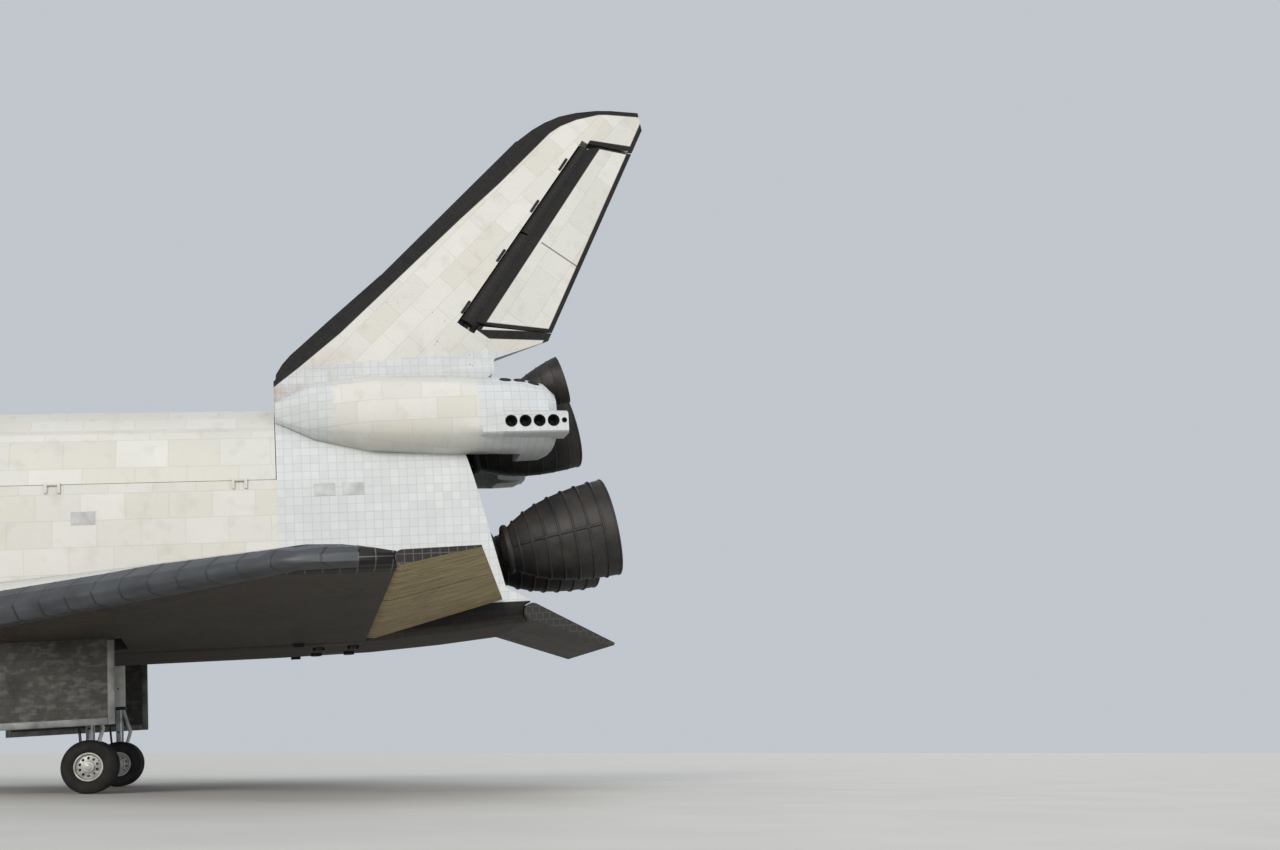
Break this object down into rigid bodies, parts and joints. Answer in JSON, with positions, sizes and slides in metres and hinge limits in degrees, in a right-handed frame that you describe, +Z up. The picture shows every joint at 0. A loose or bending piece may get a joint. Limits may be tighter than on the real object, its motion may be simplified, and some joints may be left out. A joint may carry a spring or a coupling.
{
  "type": "winged orbital spaceplane",
  "caption": "Winged orbital spaceplane on its landing gear: cargo bay with long doors, swept fin with split rudder, elevons, body flap and gimballed rocket engines.",
  "frame": {"origin": "middle of the bounding box, on the ground under the parked spaceplane", "axes": "+X aft, the nose points to -X; +Y starboard; +Z up"},
  "size_m": [36.2292, 23.79, 17.7425],
  "materials": {
    "carbon_edge": "grey coated carbon",
    "white_tile": "white ceramic tile",
    "glass": "dark glass",
    "interior": "grey-green cabin paint",
    "blanket": "off-white quilted ceramic felt",
    "black_tile": "black ceramic tile",
    "scorched_tile": "heat-stained tan and brown tile",
    "radiator": "silvered panel",
    "engine": "charcoal metal, satin",
    "steel": "bare steel",
    "gear": "light grey paint",
    "tyre": "black rubber"
  },
  "bodies": {
    "root": {"nose_cap": "carbon_edge", "forward_fuselage": "white_tile", "forward_thruster_module": "white_tile", "windshield": "glass", "overhead_windows": "glass", "flight_deck": "interior", "mid_fuselage": "blanket", "aft_fuselage": "white_tile", "fin": "blanket", "wing_left": "black_tile", "wing_right": "black_tile", "wing_edge_left": "carbon_edge", "wing_edge_right": "carbon_edge", "oms_pod_left": "blanket", "oms_pod_right": "blanket", "oms_nozzle_left": "engine", "oms_nozzle_right": "engine", "main_gear_door_left": "black_tile", "main_gear_door_right": "black_tile", "nose_gear_door_left": "black_tile", "nose_gear_door_right": "black_tile", "main_gear_leg_left": "gear", "main_gear_leg_right": "gear", "nose_gear_leg": "gear"},
    "payload_door_left": {"payload_door_left": "blanket", "radiator_left": "radiator"},
    "umbilical_door_left": {"umbilical_door_left": "black_tile"},
    "elevon_inner_left": {"elevon_inner_left": "scorched_tile"},
    "elevon_outer_left": {"elevon_outer_left": "scorched_tile"},
    "main_wheels_left": {"main_left_wheels": "gear", "main_left_tyre_port": "tyre", "main_left_tyre_starboard": "tyre"},
    "payload_door_right": {"payload_door_right": "blanket", "radiator_right": "radiator"},
    "umbilical_door_right": {"umbilical_door_right": "black_tile"},
    "elevon_inner_right": {"elevon_inner_right": "scorched_tile"},
    "elevon_outer_right": {"elevon_outer_right": "scorched_tile"},
    "main_wheels_right": {"main_right_wheels": "gear", "main_right_tyre_port": "tyre", "main_right_tyre_starboard": "tyre"},
    "side_hatch": {"side_hatch": "white_tile"},
    "body_flap": {"body_flap": "scorched_tile"},
    "rudder_shaft": {"rudder_shaft": "black_tile"},
    "rudder_panel_left": {"rudder_panel_left": "blanket"},
    "rudder_panel_right": {"rudder_panel_right": "blanket"},
    "engine_gimbal_1": {"engine_gimbal_1": "steel"},
    "main_engine_1": {"main_engine_1": "engine"},
    "engine_gimbal_2": {"engine_gimbal_2": "steel"},
    "main_engine_2": {"main_engine_2": "engine"},
    "engine_gimbal_3": {"engine_gimbal_3": "steel"},
    "main_engine_3": {"main_engine_3": "engine"},
    "nose_steering": {"nose_gear_fork": "gear"},
    "nose_wheels": {"nose_wheels": "gear", "nose_tyre_port": "tyre", "nose_tyre_starboard": "tyre"}
  },
  "joints": [
    {"name": "payload_door_left_hinge", "type": "hinge", "parent": "root", "child": "payload_door_left", "pos_m": [-0.27545, -2.585, 6.4718], "axis": [0.998, 0, 0.0628], "range_deg": [0, 175.5]},
    {"name": "umbilical_door_left_hinge", "type": "hinge", "parent": "root", "child": "umbilical_door_left", "pos_m": [10.44675, -1.14, 3.27005], "axis": [0.998, 0, 0.0628], "range_deg": [0, 175]},
    {"name": "elevon_inner_left", "type": "hinge", "parent": "root", "child": "elevon_inner_left", "pos_m": [11.1587, -7.95, 4.07355], "axis": [-0.0026, -0.9992, 0.0407], "range_deg": [-26, 29]},
    {"name": "elevon_outer_left", "type": "hinge", "parent": "root", "child": "elevon_outer_left", "pos_m": [11.1587, -7.95, 4.07355], "axis": [-0.0026, -0.9992, 0.0407], "range_deg": [-26, 29]},
    {"name": "main_wheels_left_spin", "type": "hinge", "parent": "root", "child": "main_wheels_left", "pos_m": [5.30676, -3.455, 0.56017], "axis": [0, 1, 0], "continuous": true},
    {"name": "payload_door_right_hinge", "type": "hinge", "parent": "root", "child": "payload_door_right", "pos_m": [-0.27545, 2.585, 6.4718], "axis": [-0.998, 0, -0.0628], "range_deg": [0, 175.5]},
    {"name": "umbilical_door_right_hinge", "type": "hinge", "parent": "root", "child": "umbilical_door_right", "pos_m": [10.44675, 1.14, 3.27005], "axis": [-0.998, 0, -0.0628], "range_deg": [0, 175]},
    {"name": "elevon_inner_right", "type": "hinge", "parent": "root", "child": "elevon_inner_right", "pos_m": [11.1587, 7.95, 4.07355], "axis": [0.0026, -0.9992, -0.0407], "range_deg": [-26, 29]},
    {"name": "elevon_outer_right", "type": "hinge", "parent": "root", "child": "elevon_outer_right", "pos_m": [11.1587, 7.95, 4.07355], "axis": [0.0026, -0.9992, -0.0407], "range_deg": [-26, 29]},
    {"name": "main_wheels_right_spin", "type": "hinge", "parent": "root", "child": "main_wheels_right", "pos_m": [5.30676, 3.455, 0.56017], "axis": [0, 1, 0], "continuous": true},
    {"name": "side_hatch_hinge", "type": "hinge", "parent": "root", "child": "side_hatch", "pos_m": [-10.95007, -2.582, 4.13945], "axis": [0.998, 0, 0.0628], "range_deg": [0, 90]},
    {"name": "body_flap", "type": "hinge", "parent": "root", "child": "body_flap", "pos_m": [14.84799, 0, 4.08923], "axis": [0, -1, 0], "range_deg": [-1.5, 32.7]},
    {"name": "rudder_shaft", "type": "hinge", "parent": "root", "child": "rudder_shaft", "pos_m": [15.01518, 0, 14.06241], "axis": [0.5185, 0, 0.8551], "range_deg": [-27.1, 27.1]},
    {"name": "rudder_panel_left", "type": "hinge", "parent": "rudder_shaft", "child": "rudder_panel_left", "pos_m": [15.01518, 0, 14.06241], "axis": [-0.5185, 0, -0.8551], "range_deg": [0, 49.3]},
    {"name": "rudder_panel_right", "type": "hinge", "parent": "rudder_shaft", "child": "rudder_panel_right", "pos_m": [15.01518, 0, 14.06241], "axis": [0.5185, 0, 0.8551], "range_deg": [0, 49.3]},
    {"name": "engine_pitch_1", "type": "hinge", "parent": "root", "child": "engine_gimbal_1", "pos_m": [12.39358, 0, 7.90464], "axis": [0, -1, 0], "range_deg": [-10.5, 10.5]},
    {"name": "engine_yaw_1", "type": "hinge", "parent": "engine_gimbal_1", "child": "main_engine_1", "pos_m": [12.39358, 0, 7.90464], "axis": [-0.3355, 0, 0.9421], "range_deg": [-8.5, 8.5]},
    {"name": "engine_pitch_2", "type": "hinge", "parent": "root", "child": "engine_gimbal_2", "pos_m": [13.13654, -1.346, 5.39635], "axis": [-0.0609, -0.9981, -0.0038], "range_deg": [-10.5, 10.5]},
    {"name": "engine_yaw_2", "type": "hinge", "parent": "engine_gimbal_2", "child": "main_engine_2", "pos_m": [13.13654, -1.346, 5.39635], "axis": [-0.2348, 0.0106, 0.972], "range_deg": [-8.5, 8.5]},
    {"name": "engine_pitch_3", "type": "hinge", "parent": "root", "child": "engine_gimbal_3", "pos_m": [13.13654, 1.346, 5.39635], "axis": [0.0609, -0.9981, 0.0038], "range_deg": [-10.5, 10.5]},
    {"name": "engine_yaw_3", "type": "hinge", "parent": "engine_gimbal_3", "child": "main_engine_3", "pos_m": [13.13654, 1.346, 5.39635], "axis": [-0.2348, -0.0106, 0.972], "range_deg": [-8.5, 8.5]},
    {"name": "nose_steering", "type": "hinge", "parent": "root", "child": "nose_steering", "pos_m": [-14.3809, 0, 1.44893], "axis": [-0.0628, 0, 0.998], "range_deg": [-10, 10]},
    {"name": "nose_wheels_spin", "type": "hinge", "parent": "nose_steering", "child": "nose_wheels", "pos_m": [-14.31497, 0, 0.401], "axis": [0, 1, 0], "continuous": true}
  ]
}
